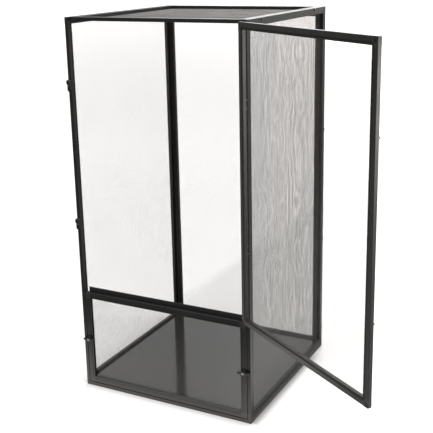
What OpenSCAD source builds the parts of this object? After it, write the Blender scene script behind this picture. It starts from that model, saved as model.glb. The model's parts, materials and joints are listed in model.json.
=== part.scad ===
// Screen reptile terrarium: a black aluminium frame with fine mesh on all sides,
// a tall hinged door in front, a short drop-down door below it and a solid raised floor.
// Millimetres, +Z up, origin at the bottom centre of the cage.
// The tall door is drawn standing open, as at rest; every joint starts from there.

/* [Cage] */
// Outside width of the cage
cage_w = 457; // [380:1:620]
// Outside depth of the cage
cage_d = 457; // [380:1:620]
// Outside height of the cage, base included
cage_h = 914; // [880:1:1220]

/* [Frame bars] */
// Width of a bar, seen square to its panel
bar_w = 15.5; // [15:0.1:18]
// Thickness of a bar, and so of each panel
bar_t = 8.5; // [8:0.1:10]
// Wall of the hollow bars
bar_wall = 1.2; // [0.9:0.1:1.5]
// Width of the spline channel
channel_w = 2.2; // [1.8:0.1:2.6]
// Depth of the spline channel
channel_depth = 3.2; // [2.8:0.1:3.8]
// Width of the lip that the mesh lies on
lip_w = 2.7; // [2:0.1:3.2]
// Bevel along the bars' edges
edge_bevel = 0.5; // [0.2:0.1:0.7]
// Reach of each corner block's leg into its bar
leg_len = 20; // [12:1:24]
// Clearance of a leg in its bar, on each side
leg_gap = 0.1; // [0.05:0.05:0.2]

/* [Mesh] */
// Thickness of the woven mesh
mesh_t = 0.4; // [0.3:0.1:0.5]
// Depth of the mesh's edge, folded down into the channel
hem_depth = 2.4; // [2:0.1:2.6]
// Openings across a panel, in the plain grid that stands for the fine weave
mesh_cells = 12; // [4:1:12]
// Width of the strands of that grid
strand_w = 2.4; // [1.6:0.1:4]

/* [Base] */
// Thickness of the base frame
base_t = 9; // [8.5:0.1:12]
// Thickness of the floor sheet
floor_t = 3; // [2:0.1:4]
// Height of the floor above the base frame
floor_rise = 9; // [4:0.5:12]
// Width of the base rails left at full thickness around the floor sheet
base_rim = 6.6; // [6.2:0.1:8]

/* [Lower door] */
// Height of the drop-down door
lower_door_h = 240; // [220:1:260]
// Gap under the drop-down door
lower_door_sill = 1.5; // [1.4:0.1:3]
// Gap at each side of the drop-down door
lower_door_side = 1.25; // [1:0.05:2]
// Height of its pivot above its bottom edge
pivot_up = 7.75; // [7:0.05:8.2]
// Depth of its pivot behind its front face
pivot_in = 3; // [2.8:0.05:3.4]
// Radius of the pivot pins
pivot_r = 1.5; // [1:0.1:1.7]
// Length of a pivot pin in each of the two corner blocks
pivot_bite = 6; // [4:0.5:7]
// Height of the stop strip above the drop-down door
strip_up = 12; // [8:0.5:16]
// Height of the stop strip's lap on the door's top rail
strip_lap = 9; // [7:0.5:10]
// Thickness of the stop strip
strip_t = 1.4; // [1:0.1:1.8]
// Distance of the strip's ends from the door's ends
strip_end = 7.5; // [6:0.5:12]
// Distance of the strip's outer screws from its ends
strip_screw_inset = 30; // [15:1:60]

/* [Upper door] */
// How far the tall door stands open
door_open = 146.5; // [60:0.5:165]
// Gap between the two doors
door_gap = 1.5; // [1:0.1:3]
// Gap at each side of the tall door
door_side = 1.5; // [1.2:0.1:2.5]
// Distance of the tall door's top edge below the cage's top
door_drop = 3; // [1:0.5:6]
// Clear space behind the closed door
door_back = 0.5; // [0.4:0.1:1.5]
// Distance of each hinge's middle from the tall door's end
hinge_inset = 170; // [60:1:250]
// Height of a hinge
hinge_h = 36; // [30:1:50]
// Radius of a hinge knuckle
knuckle_r = 1.8; // [1.7:0.05:1.85]
// Radius of a hinge pin
hinge_pin_r = 0.9; // [0.8:0.05:1]
// Thickness of the hinge leaves
leaf_t = 1; // [0.9:0.05:1.1]
// Width of a hinge leaf from the pin's axis
leaf_w = 8.7; // [8.2:0.1:9]
// Distance of the pull studs below the turn buttons
stud_drop = 15; // [15:1:40]
// Radius of a pull stud
stud_r = 2.4; // [2:0.1:3]
// Reach of a pull stud from the door's face
stud_len = 7.5; // [5:0.5:12]

/* [Latches] */
// Distance of the upper turn button below the tall door's top
button_top_inset = 152; // [60:1:220]
// Distance of the lower turn button above the tall door's bottom
button_bottom_inset = 174; // [60:1:220]
// Length of a turn button
button_len = 28; // [24:1:32]
// Width of a turn button
button_w = 8; // [7:0.5:9]
// Thickness of a turn button's wing
button_t = 5; // [4:0.5:7]
// Height of the finger lobe above the wing
lobe_t = 4; // [2:0.5:6]
// Height of the two latch knobs above the drop-down door's bottom
knob_up = 117; // [60:1:160]
// Radius of a latch knob
knob_r = 7; // [6:0.5:7.5]
// Thickness of a latch knob
knob_t = 5; // [4:0.5:6]
// Length of a knob's wing
wing_len = 29; // [24:1:32]
// Width of a knob's wing
wing_w = 5; // [4:0.5:6]
// Reach of the wing from the door's face
wing_t = 8.5; // [7:0.5:9]
// Radius of a latch spindle
spindle_r = 2; // [1.5:0.1:2.4]
// Reach of a latch cam from the spindle's axis
cam_reach = 11; // [10.4:0.1:11.4]
// Width of a latch cam
cam_w = 5; // [4:0.5:6]
// Thickness of a latch cam
cam_t = 1; // [0.8:0.1:1.1]

/* [Screws] */
// Radius of the frame screws
screw_r = 1.5; // [1.2:0.1:1.8]
// Length of the frame screws
screw_len = 16; // [12:1:20]
// Radius of a frame screw's head
screw_head_r = 3.1; // [2.8:0.1:3.4]
// Height of a frame screw's head
screw_head_h = 2; // [1.6:0.1:2.2]
// Radius of the small hinge and strip screws
small_r = 1.1; // [0.9:0.05:1.3]
// Length of the small screws
small_len = 5; // [3:0.5:6]
// Radius of a small screw's head
small_head_r = 2.2; // [2:0.1:2.4]
// Height of a small screw's head
small_head_h = 0.85; // [0.6:0.05:0.9]
// Heights of the screws along the back edges, above the base
back_screw_up = [48, 302, 596];
// Distance of the screws along the top edges from the cage's front and back
top_screw_inset = 74; // [50:1:120]
// Distance of the screws under the base from the cage's edges
base_screw_inset = 78; // [50:1:120]

/* [Hidden] */
$fn = 48;

cut = 1;                // how far a cutter runs past what it cuts
hole_gap = 0.05;        // clearance of a screw or pin in its hole, on the radius
turn_gap = 0.3;         // clearance between faces that turn past each other
spline_gap = 0.05;      // clearance of the spline against the mesh's fold
mesh_sink = mesh_t + 0.1;               // depth of the lip below the bar's face
line_w = 1.4;           // width of the line along a bar's outer face
line_depth = 0.6;       // depth of that line
lip_at = bar_w - lip_w;                 // the lip's start, from the bar's outer edge
channel_at = lip_at - channel_w;        // the spline channel's start
channel_wall = 2;       // wall between the hollow chamber and the spline channel
chamber_end = channel_at - channel_wall;
chamber_w = chamber_end - bar_wall;
chamber_t = bar_t - 2 * bar_wall;
rib_w = 1.2;            // width of a corner block's ribs
rib_rim = 1.2;          // rim round the ribs
rib_depth = 1.2;        // depth of the pockets between them

side_h = cage_h - base_t;               // height of the side panels
inner_w = cage_w - 2 * bar_t;           // width between the side panels
back_h = side_h - bar_t;                // the top panel lies on the back panel
door_y = -cage_d / 2;                   // front face of both doors when closed
top_front = door_y + bar_t + door_back; // front edge of the top panel
top_len = cage_d / 2 - top_front;

lower_w = inner_w - 2 * lower_door_side;
lower_z = base_t + lower_door_sill;
lower_top = lower_z + lower_door_h;
pivot_y = door_y + pivot_in;
pivot_z = lower_z + pivot_up;
strip_y = door_y + bar_t;
strip_len = lower_w - 2 * strip_end;
strip_bottom = lower_top - strip_lap;

upper_w = inner_w - 2 * door_side;
upper_z = lower_top + door_gap;
upper_h = cage_h - door_drop - upper_z;
axis_out = 2;           // distance of the hinge axis in front of the doors' face
axis_in = 1;            // distance of the hinge axis inside the side panel's face
axis_x = inner_w / 2 - axis_in;
axis_y = door_y - axis_out;
leaf_notch = knuckle_r + turn_gap;      // clear space beside the other leaf's knuckle
hinge_z = [upper_z + upper_h - hinge_inset, upper_z + hinge_inset]; // middles of the hinges
leaf_screw_up = hinge_h / 4;            // screws above and below a hinge's middle
leaf_screw_x = (leaf_notch + leaf_w) / 2;
knuckle_h = hinge_h / 3;
knuckle_gap = 0.1;      // gap between two knuckles
pin_head_r = 1.5;
pin_head_h = 0.5;
stud_from_edge = 5.5;   // a stud's place, from the door's free edge
stud_neck_len = stud_len * 0.6;
stud_neck_r = stud_r * 0.7;

button_x = cage_w / 2 - bar_t / 2;
button_high_z = upper_z + upper_h - button_top_inset;
button_low_z = upper_z + button_bottom_inset;
knob_z = lower_z + knob_up;
knob_inset = 6.9;       // distance of a latch knob's axis from the door's side edge
knob_x = lower_w / 2 - knob_inset;
knob_face = door_y - turn_gap;          // back of what turns in front of the frame
cam_y = door_y + bar_t + turn_gap;      // front of the cams
slot_front = 0.4;       // clear space in a cam's slot, in front of the cam
slot_back = 0.2;        // and behind it
slot_depth = cam_reach - (inner_w / 2 - knob_x) + turn_gap; // depth of the slot for a cam's tip
slot_half = sqrt(pow(cam_reach, 2) + pow(cam_w / 2, 2)
    - pow(inner_w / 2 - knob_x, 2)) + turn_gap;
base_pocket = screw_head_h + 0.3;       // depth of the pockets for the base screws' heads
edge_mid = bar_t / 2;                   // middle of a panel's thickness
door_sweep = sqrt(pow(pivot_up, 2) + pow(bar_t - pivot_in, 2)); // reach of the door's lower corner
floor_front = pivot_y + door_sweep + turn_gap;                  // front edge of the floor sheet
floor_gap = 0.5;        // gap between the raised floor and the panels
spindle_rim = 1;        // how far a spindle's head reaches past the spindle
hub_inset = 0.2;        // how much smaller a turn button's hub is than its wing
lobe_inset = 0.6;       // how much smaller its finger lobe is

black = [0.10, 0.10, 0.11];
plastic_black = [0.07, 0.07, 0.08];
mesh_grey = [0.16, 0.16, 0.17];
rubber_black = [0.04, 0.04, 0.04];
floor_grey = [0.28, 0.28, 0.29];
steel = [0.75, 0.75, 0.77];

// ---- Bars, blocks, mesh and spline of one panel ----
// A panel stands in X and Z with its corner at the origin. Its outer face is at Y = 0.

// Cross-section of a bar: X runs from its outer edge inwards, Y from its outer face inwards
module bar_section() {
    difference() {
        polygon([
            [edge_bevel, 0], [channel_at, 0], [channel_at, line_depth],
            [channel_at + line_w, line_depth], [channel_at + line_w, 0],
            [bar_w - edge_bevel, 0], [bar_w, edge_bevel],
            [bar_w, bar_t - mesh_sink], [lip_at, bar_t - mesh_sink],
            [lip_at, bar_t - channel_depth], [channel_at, bar_t - channel_depth],
            [channel_at, bar_t], [edge_bevel, bar_t],
            [0, bar_t - edge_bevel], [0, edge_bevel]
        ]);
        translate([bar_wall, bar_wall]) square([chamber_w, chamber_t]);
    }
}

// Upright bar on the left edge of a panel of height h
module stile(h) {
    translate([0, 0, bar_w]) linear_extrude(h - 2 * bar_w) bar_section();
}

// Upright bar on the right edge of a panel of width w and height h
module stile_right(w, h) {
    translate([w, 0, 0]) mirror([1, 0, 0]) stile(h);
}

// Level bar along the bottom edge of a panel of width w
module rail(w) {
    translate([w, 0, 0]) rotate([0, -90, 0]) stile(w);
}

// Level bars along the bottom and top edges
module rail_pair(w, h) {
    rail(w);
    rail_top(w, h);
}

// Level bar along the top edge
module rail_top(w, h) {
    translate([0, 0, h]) mirror([0, 0, 1]) rail(w);
}

// Flat frame with rectangular corners, between two distances from the panel's edge
module ring(w, h, from, to, y0, y1) {
    difference() {
        translate([from, y0, from]) cube([w - 2 * from, y1 - y0, h - 2 * from]);
        translate([to, y0 - cut, to]) cube([w - 2 * to, y1 - y0 + 2 * cut, h - 2 * to]);
    }
}

// Four pockets between the crossed ribs on a block's inner face
module rib_pockets() {
    far = (channel_at - 2 * rib_rim) / 2;
    near = rib_w * sqrt(2) / 2;
    for (turn = [0 : 90 : 270])
        translate([rib_rim + far, bar_t - rib_depth, rib_rim + far])
            rotate([0, turn, 0]) rotate([90, 0, 0]) translate([0, 0, -rib_depth - cut])
                linear_extrude(rib_depth + cut)
                    polygon([[near, 0], [far, far - near], [far, near - far]]);
}

// One corner block, at the panel's lower left corner, with a leg up and a leg across
module corner_block() {
    leg = bar_wall + leg_gap;
    difference() {
        cube([bar_w, bar_t, bar_w]);
        rib_pockets();
    }
    translate([leg, leg, bar_w - cut])
        cube([chamber_w - 2 * leg_gap, chamber_t - 2 * leg_gap, leg_len + cut]);
    translate([bar_w - cut, leg, leg])
        cube([leg_len + cut, chamber_t - 2 * leg_gap, chamber_w - 2 * leg_gap]);
}

// The four corner blocks of a panel, with the spline channel running round them
module corner_blocks(w, h) {
    difference() {
        for (x = [0, 1], z = [0, 1])
            translate([x * w, 0, z * h]) mirror([x, 0, 0]) mirror([0, 0, z]) corner_block();
        ring(w, h, channel_at, lip_at, bar_t - channel_depth, bar_t + cut);
        translate([lip_at, bar_t - mesh_sink, lip_at])
            cube([w - 2 * lip_at, mesh_sink + cut, h - 2 * lip_at]);
    }
}

// Mesh sheet on the lip, with its edge folded down into the channel; a plain grid between
// the bars stands for the weave
module mesh_sheet(w, h) {
    fold = lip_at - mesh_t;
    top = bar_t - mesh_sink + mesh_t;
    clear_w = w - 2 * bar_w + strand_w;
    clear_h = h - 2 * bar_w + strand_w;
    step_x = clear_w / mesh_cells;
    rows = round(clear_h / step_x);
    step_z = clear_h / rows;
    translate([0, top, 0]) rotate([90, 0, 0]) linear_extrude(mesh_t) difference() {
        translate([fold, fold]) square([w - 2 * fold, h - 2 * fold]);
        for (column = [0 : mesh_cells - 1], row = [0 : rows - 1])
            translate([bar_w + column * step_x, bar_w + row * step_z])
                square([step_x - strand_w, step_z - strand_w]);
    }
    ring(w, h, fold, lip_at, top - hem_depth, top);
}

// Spline cord pressed into the channel beside the mesh's fold
module spline_cord(w, h) {
    ring(w, h, channel_at + spline_gap, lip_at - mesh_t - spline_gap,
        bar_t - channel_depth + spline_gap, bar_t - mesh_sink);
}

// ---- Fasteners ----

// Pan-head screw with a cross recess: head above Z = 0, shank below
module pan_screw(r, length, head_r, head_h) {
    recess_w = r * 0.5;
    translate([0, 0, -length]) cylinder(h = length, r = r);
    difference() {
        rotate_extrude() polygon([
            [0, 0], [head_r, 0], [head_r, head_h * 0.35],
            [head_r * 0.85, head_h * 0.8], [head_r * 0.55, head_h], [0, head_h]
        ]);
        for (turn = [0, 90]) rotate([0, 0, turn])
            translate([-r, -recess_w / 2, head_h * 0.4]) cube([2 * r, recess_w, head_h]);
    }
}

module frame_screw() {
    pan_screw(screw_r, screw_len, screw_head_r, screw_head_h);
}

module small_screw() {
    pan_screw(small_r, small_len, small_head_r, small_head_h);
}

module shank_hole(r, length) {
    translate([0, 0, -length - cut]) cylinder(h = length + 2 * cut, r = r + hole_gap);
}

// ---- Where the panels stand ----

module at_left() {
    translate([-cage_w / 2, cage_d / 2, base_t]) rotate([0, 0, -90]) children();
}

module at_right() {
    translate([cage_w / 2, -cage_d / 2, base_t]) rotate([0, 0, 90]) children();
}

module at_back() {
    translate([inner_w / 2, cage_d / 2, base_t]) rotate([0, 0, 180]) children();
}

module at_top() {
    translate([-inner_w / 2, top_front, cage_h]) rotate([-90, 0, 0]) children();
}

module at_lower_door() {
    translate([-lower_w / 2, door_y, lower_z]) children();
}

// Turns what is drawn for the closed door to where the door stands open
module swung() {
    translate([axis_x, axis_y, 0]) rotate([0, 0, door_open])
        translate([-axis_x, -axis_y, 0]) children();
}

module at_upper_door() {
    swung() translate([-upper_w / 2, door_y, upper_z]) children();
}

// Screws that hold the side panels to the back and top panels; their axes point outwards
module at_panel_screws() {
    for (side = [0, 1]) mirror([side, 0, 0]) {
        for (up = back_screw_up)
            translate([cage_w / 2, cage_d / 2 - edge_mid, base_t + up])
                rotate([0, 90, 0]) children();
        for (end = [-1, 1])
            translate([cage_w / 2, end * (cage_d / 2 - top_screw_inset), cage_h - edge_mid])
                rotate([0, 90, 0]) children();
    }
}

// Screws that come up through the base into the side and back panels
module at_base_screws() {
    for (side = [-1, 1], y = [-1, 1])
        translate([side * (cage_w / 2 - edge_mid), y * (cage_d / 2 - base_screw_inset),
            base_pocket]) rotate([180, 0, 0]) children();
    for (x = [-1, 1])
        translate([x * (cage_w / 2 - base_screw_inset), cage_d / 2 - edge_mid, base_pocket])
            rotate([180, 0, 0]) children();
}

// Screws of the hinge leaves on the side panel's front edge
module at_frame_leaf_screws() {
    for (z = hinge_z, up = [-1, 1])
        translate([axis_x + leaf_screw_x, door_y - leaf_t, z + up * leaf_screw_up])
            rotate([90, 0, 0]) children();
}

// Screws of the hinge leaves on the door, with the door closed
module at_door_leaf_screws() {
    for (z = hinge_z, up = [-1, 1])
        translate([axis_x - leaf_screw_x, door_y - leaf_t, z + up * leaf_screw_up])
            rotate([90, 0, 0]) children();
}

// Screws of the stop strip, from behind into the lower door's top rail
module at_strip_screws() {
    for (x = [-1, 0, 1])
        translate([x * (strip_len / 2 - strip_screw_inset), strip_y + strip_t, strip_bottom + strip_lap / 2])
            rotate([-90, 0, 0]) children();
}

module at_buttons() {
    for (z = [button_high_z, button_low_z])
        translate([-button_x, door_y, z]) rotate([90, 0, 0]) children();
}

module at_knobs() {
    for (side = [-1, 1])
        translate([side * knob_x, door_y, knob_z]) rotate([90, 0, 0]) children();
}

module at_studs() {
    for (z = [button_high_z, button_low_z])
        translate([-upper_w / 2 + stud_from_edge, door_y, z - stud_drop])
            rotate([90, 0, 0]) children();
}

module at_pivots() {
    for (side = [0, 1]) mirror([side, 0, 0])
        translate([inner_w / 2 + pivot_bite, pivot_y, pivot_z]) rotate([0, -90, 0]) children();
}

// Cuts for every fastener that enters the fixed frame
module frame_holes() {
    at_panel_screws() shank_hole(screw_r, screw_len);
    at_base_screws() shank_hole(screw_r, screw_len);
    at_frame_leaf_screws() shank_hole(small_r, small_len);
    at_buttons() shank_hole(small_r, small_len);
}

// Slots in the side panels' front stiles that the latch cams turn into
module cam_slots() {
    for (side = [0, 1]) mirror([side, 0, 0])
        translate([inner_w / 2 - cut, cam_y - slot_front, knob_z - slot_half])
            cube([slot_depth + cut, slot_front + cam_t + slot_back, 2 * slot_half]);
}

// ---- Base ----

// Cross-section of a base rail: X from the outer edge inwards, Y up
module base_section() {
    floor_seat = base_t - floor_t;
    difference() {
        polygon([
            [edge_bevel, 0], [bar_w, 0], [bar_w, floor_seat], [base_rim, floor_seat],
            [base_rim, base_t], [0, base_t], [0, edge_bevel]
        ]);
        translate([base_rim + bar_wall, bar_wall])
            square([bar_w - base_rim - 2 * bar_wall, floor_seat - 2 * bar_wall]);
    }
}

// Base rail along one edge of length span, between the corner blocks
module base_rail(span, across) {
    translate([-span / 2 + bar_w, -across / 2, 0]) rotate([90, 0, 90])
        linear_extrude(span - 2 * bar_w) base_section();
}

module base_rail_holes() {
    at_base_screws() {
        shank_hole(screw_r, screw_len);
        cylinder(h = base_pocket + cut, r = screw_head_r + hole_gap);
    }
}

module base_side_rails() {
    color(black) difference() {
        for (side = [0, 1]) rotate([0, 0, 90 + 180 * side]) base_rail(cage_d, cage_w);
        base_rail_holes();
    }
}

module base_cross_rails() {
    color(black) difference() {
        for (side = [0, 1]) rotate([0, 0, 180 * side]) base_rail(cage_w, cage_d);
        base_rail_holes();
    }
}

module base_corner() {
    floor_seat = base_t - floor_t;
    leg = bar_wall + leg_gap;
    leg_w = bar_w - base_rim - 2 * leg;
    leg_h = floor_seat - 2 * leg;
    difference() {
        cube([bar_w, bar_w, base_t]);
        translate([base_rim, base_rim, floor_seat]) cube([bar_w, bar_w, floor_t + cut]);
    }
    translate([base_rim + leg, bar_w - cut, leg]) cube([leg_w, leg_len + cut, leg_h]);
    translate([bar_w - cut, base_rim + leg, leg]) cube([leg_len + cut, leg_w, leg_h]);
}

module base_corners() {
    color(plastic_black)
        for (x = [0, 1], y = [0, 1]) mirror([x, 0, 0]) mirror([0, y, 0])
            translate([-cage_w / 2, -cage_d / 2, 0]) base_corner();
}

// Box of width w between two depths and two heights
module floor_slab(w, back, front, z0, z1) {
    translate([-w / 2, front, z0]) cube([w, back - front, z1 - z0]);
}

// Formed sheet: a raised floor, hollow below, with a flange in the base frame's seat
module floor_panel() {
    seat = base_t - floor_t;
    flange_w = cage_w - 2 * base_rim - 2 * leg_gap;
    flange_back = cage_d / 2 - base_rim - leg_gap;
    raised_w = inner_w - 2 * floor_gap;
    raised_back = cage_d / 2 - bar_t - floor_gap;
    color(floor_grey) difference() {
        union() {
            floor_slab(flange_w, flange_back, floor_front, seat, base_t);
            floor_slab(raised_w, raised_back, floor_front, seat, base_t + floor_rise);
        }
        floor_slab(raised_w - 2 * floor_t, raised_back - floor_t, floor_front + floor_t,
            seat - cut, base_t + floor_rise - floor_t);
    }
}

// ---- Side panels ----

module left_front_stile() {
    color(black) difference() {
        at_left() stile_right(cage_d, side_h);
        frame_holes();
        cam_slots();
    }
}

module left_back_stile() {
    color(black) difference() {
        at_left() stile(side_h);
        frame_holes();
    }
}

module left_rails() {
    color(black) difference() {
        at_left() rail_pair(cage_d, side_h);
        frame_holes();
    }
}

module left_corners() {
    color(plastic_black) difference() {
        at_left() corner_blocks(cage_d, side_h);
        at_pivots() pivot_bore();
    }
}

module left_mesh() {
    color(mesh_grey) at_left() mesh_sheet(cage_d, side_h);
}

module left_spline() {
    color(rubber_black) at_left() spline_cord(cage_d, side_h);
}

module right_front_stile() {
    color(black) difference() {
        at_right() stile(side_h);
        frame_holes();
        cam_slots();
    }
}

module right_back_stile() {
    color(black) difference() {
        at_right() stile_right(cage_d, side_h);
        frame_holes();
    }
}

module right_rails() {
    color(black) difference() {
        at_right() rail_pair(cage_d, side_h);
        frame_holes();
    }
}

module right_corners() {
    color(plastic_black) difference() {
        at_right() corner_blocks(cage_d, side_h);
        at_pivots() pivot_bore();
    }
}

module right_mesh() {
    color(mesh_grey) at_right() mesh_sheet(cage_d, side_h);
}

module right_spline() {
    color(rubber_black) at_right() spline_cord(cage_d, side_h);
}

// ---- Back panel ----

module back_left_stile() {
    color(black) difference() {
        at_back() stile_right(inner_w, back_h);
        frame_holes();
    }
}

module back_right_stile() {
    color(black) difference() {
        at_back() stile(back_h);
        frame_holes();
    }
}

module back_rails() {
    color(black) difference() {
        at_back() rail_pair(inner_w, back_h);
        frame_holes();
    }
}

module back_corners() {
    color(plastic_black) at_back() corner_blocks(inner_w, back_h);
}

module back_mesh() {
    color(mesh_grey) at_back() mesh_sheet(inner_w, back_h);
}

module back_spline() {
    color(rubber_black) at_back() spline_cord(inner_w, back_h);
}

// ---- Top panel ----

module top_left_rail() {
    color(black) difference() {
        at_top() stile(top_len);
        frame_holes();
    }
}

module top_right_rail() {
    color(black) difference() {
        at_top() stile_right(inner_w, top_len);
        frame_holes();
    }
}

module top_cross_rails() {
    color(black) at_top() rail_pair(inner_w, top_len);
}

module top_corners() {
    color(plastic_black) at_top() corner_blocks(inner_w, top_len);
}

module top_mesh() {
    color(mesh_grey) at_top() mesh_sheet(inner_w, top_len);
}

module top_spline() {
    color(rubber_black) at_top() spline_cord(inner_w, top_len);
}

// ---- Upper door ----

module door_leaf_holes() {
    swung() at_door_leaf_screws() shank_hole(small_r, small_len);
}

module upper_hinge_stile() {
    color(black) difference() {
        at_upper_door() stile_right(upper_w, upper_h);
        door_leaf_holes();
    }
}

module upper_latch_stile() {
    color(black) difference() {
        at_upper_door() stile(upper_h);
        swung() at_studs() shank_hole(small_r, small_len);
    }
}

module upper_door_rails() {
    color(black) at_upper_door() rail_pair(upper_w, upper_h);
}

module upper_door_corners() {
    color(plastic_black) at_upper_door() corner_blocks(upper_w, upper_h);
}

module upper_door_mesh() {
    color(mesh_grey) at_upper_door() mesh_sheet(upper_w, upper_h);
}

module upper_door_spline() {
    color(rubber_black) at_upper_door() spline_cord(upper_w, upper_h);
}

module pull_studs() {
    color(steel) swung() at_studs() {
        cylinder(h = stud_neck_len, r = stud_neck_r);
        translate([0, 0, stud_neck_len]) cylinder(h = stud_len - stud_neck_len, r = stud_r);
        translate([0, 0, -small_len]) cylinder(h = small_len + cut, r = small_r);
    }
}

// ---- Hinges of the upper door ----

// One knuckle round the hinge axis, from z0 to z1, with the bore for the pin
module knuckle(z0, z1) {
    translate([0, 0, z0]) cylinder(h = z1 - z0, r = knuckle_r);
}

// Leaf that reaches to +X from the axis; its back face is at Y = axis_out
module leaf_plate(z0, z1, from) {
    translate([from, axis_out - leaf_t, z0]) cube([leaf_w - from, leaf_t, z1 - z0]);
}

module leaf_bore() {
    translate([0, 0, -hinge_h]) cylinder(h = 2 * hinge_h, r = hinge_pin_r + hole_gap);
}

module frame_leaf() {
    difference() {
        union() {
            leaf_plate(-hinge_h / 2, hinge_h / 2, leaf_notch);
            for (end = [0, 1]) mirror([0, 0, end]) {
                knuckle(knuckle_h / 2 + knuckle_gap, hinge_h / 2);
                leaf_plate(knuckle_h / 2 + knuckle_gap, hinge_h / 2, 0);
            }
        }
        leaf_bore();
    }
}

module door_leaf() {
    difference() {
        mirror([1, 0, 0]) {
            leaf_plate(-hinge_h / 2, hinge_h / 2, leaf_notch);
            knuckle(-knuckle_h / 2, knuckle_h / 2);
            leaf_plate(-knuckle_h / 2, knuckle_h / 2, 0);
        }
        leaf_bore();
    }
}

module at_hinges() {
    for (z = hinge_z) translate([axis_x, axis_y, z]) children();
}

module hinge_frame_leaves() {
    color(black) difference() {
        at_hinges() frame_leaf();
        at_frame_leaf_screws() shank_hole(small_r, small_len);
    }
}

module hinge_door_leaves() {
    color(black) difference() {
        swung() at_hinges() door_leaf();
        door_leaf_holes();
    }
}

module hinge_pins() {
    color(steel) at_hinges() {
        translate([0, 0, -hinge_h / 2]) cylinder(h = hinge_h, r = hinge_pin_r);
        translate([0, 0, hinge_h / 2]) cylinder(h = pin_head_h, r = pin_head_r);
    }
}

module frame_leaf_screws() {
    color(steel) at_frame_leaf_screws() small_screw();
}

module door_leaf_screws() {
    color(steel) swung() at_door_leaf_screws() small_screw();
}

// ---- Lower door ----

module pivot_bore() {
    translate([0, 0, -hole_gap])
        cylinder(h = 2 * pivot_bite + lower_door_side + turn_gap, r = pivot_r + hole_gap);
}

module pivot_pins() {
    color(steel) at_pivots()
        cylinder(h = 2 * pivot_bite + lower_door_side, r = pivot_r);
}

module knob_holes() {
    at_knobs() translate([0, 0, -bar_t - cut]) cylinder(h = bar_t + 2 * cut, r = spindle_r + hole_gap);
}

module lower_left_stile() {
    color(black) difference() {
        at_lower_door() stile(lower_door_h);
        knob_holes();
    }
}

module lower_right_stile() {
    color(black) difference() {
        at_lower_door() stile_right(lower_w, lower_door_h);
        knob_holes();
    }
}

module lower_door_rails() {
    color(black) difference() {
        at_lower_door() rail_pair(lower_w, lower_door_h);
        at_strip_screws() shank_hole(small_r, small_len);
    }
}

module lower_door_corners() {
    color(plastic_black) difference() {
        at_lower_door() corner_blocks(lower_w, lower_door_h);
        at_pivots() pivot_bore();
    }
}

module lower_door_mesh() {
    color(mesh_grey) at_lower_door() mesh_sheet(lower_w, lower_door_h);
}

module lower_door_spline() {
    color(rubber_black) at_lower_door() spline_cord(lower_w, lower_door_h);
}

module stop_strip() {
    color(plastic_black) difference() {
        translate([-strip_len / 2, strip_y, strip_bottom]) {
            cube([strip_len, strip_t, strip_lap]);
            translate([0, turn_gap, 0]) cube([strip_len, strip_t - turn_gap, strip_lap + strip_up]);
        }
        at_strip_screws() shank_hole(small_r, small_len);
    }
}

module strip_screws() {
    color(steel) at_strip_screws() small_screw();
}

// ---- Latches ----

// Bar with round ends, lying along X
module round_bar(length, width, height) {
    linear_extrude(height) {
        square([length - width, width], center = true);
        for (side = [-1, 1]) translate([side * (length - width) / 2, 0]) circle(d = width);
    }
}

// Turn button, upright, with its back clear of the closed door
module turn_button() {
    lobe_len = button_len / 2 - small_head_r - 2 * lobe_inset;
    lobe_mid = button_len / 2 - lobe_inset - lobe_len / 2;
    difference() {
        union() {
            translate([0, 0, hole_gap]) cylinder(h = turn_gap, r = button_w / 2 - hub_inset);
            translate([0, 0, turn_gap]) rotate([0, 0, 90]) round_bar(button_len, button_w, button_t);
            translate([0, lobe_mid, turn_gap + button_t / 2]) rotate([0, 0, 90])
                round_bar(lobe_len, button_w - 2 * lobe_inset, button_t / 2 + lobe_t);
        }
        translate([0, 0, -cut]) cylinder(h = button_t + 2 * cut, r = small_r + hole_gap);
    }
}

module high_turn_button() {
    color(plastic_black) translate([-button_x, door_y, button_high_z]) rotate([90, 0, 0]) turn_button();
}

module low_turn_button() {
    color(plastic_black) translate([-button_x, door_y, button_low_z]) rotate([90, 0, 0]) turn_button();
}

module button_screws() {
    color(steel) at_buttons() translate([0, 0, turn_gap + button_t + hole_gap])
        pan_screw(small_r, small_len + button_t, small_head_r, small_head_h);
}

// Knob with a level wing for finger and thumb
module latch_knob() {
    translate([0, 0, turn_gap]) difference() {
        union() {
            rotate_extrude() polygon([
                [0, 0], [knob_r, 0], [knob_r, knob_t * 0.5], [knob_r * 0.92, knob_t * 0.75],
                [knob_r * 0.75, knob_t * 0.92], [knob_r * 0.5, knob_t], [0, knob_t]
            ]);
            round_bar(wing_len, wing_w, wing_t - turn_gap);
        }
        translate([0, 0, -cut]) cylinder(h = wing_t + cut, r = spindle_r + hole_gap);
    }
}

// Spindle with its screw head in front of the knob and its cam behind the door
module latch_spindle() {
    cam_from = bar_t + turn_gap;
    translate([0, 0, -cam_from]) cylinder(h = cam_from + wing_t, r = spindle_r);
    translate([0, 0, wing_t])
        pan_screw(spindle_r, cut, spindle_r + spindle_rim, spindle_r / 2);
    translate([0, 0, -cam_from - cam_t]) linear_extrude(cam_t) {
        circle(d = cam_w);
        translate([-cam_w / 2, -cam_reach]) square([cam_w, cam_reach]);
    }
}

module at_knob(side) {
    translate([side * knob_x, door_y, knob_z]) rotate([90, 0, 0]) children();
}

module left_latch_knob() {
    color(plastic_black) at_knob(-1) latch_knob();
}

module left_latch_spindle() {
    color(steel) at_knob(-1) latch_spindle();
}

module right_latch_knob() {
    color(plastic_black) at_knob(1) latch_knob();
}

module right_latch_spindle() {
    color(steel) at_knob(1) latch_spindle();
}

// ---- Frame screws ----

module panel_screws() {
    color(steel) at_panel_screws() frame_screw();
}

module base_screws() {
    color(steel) at_base_screws() frame_screw();
}

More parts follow.
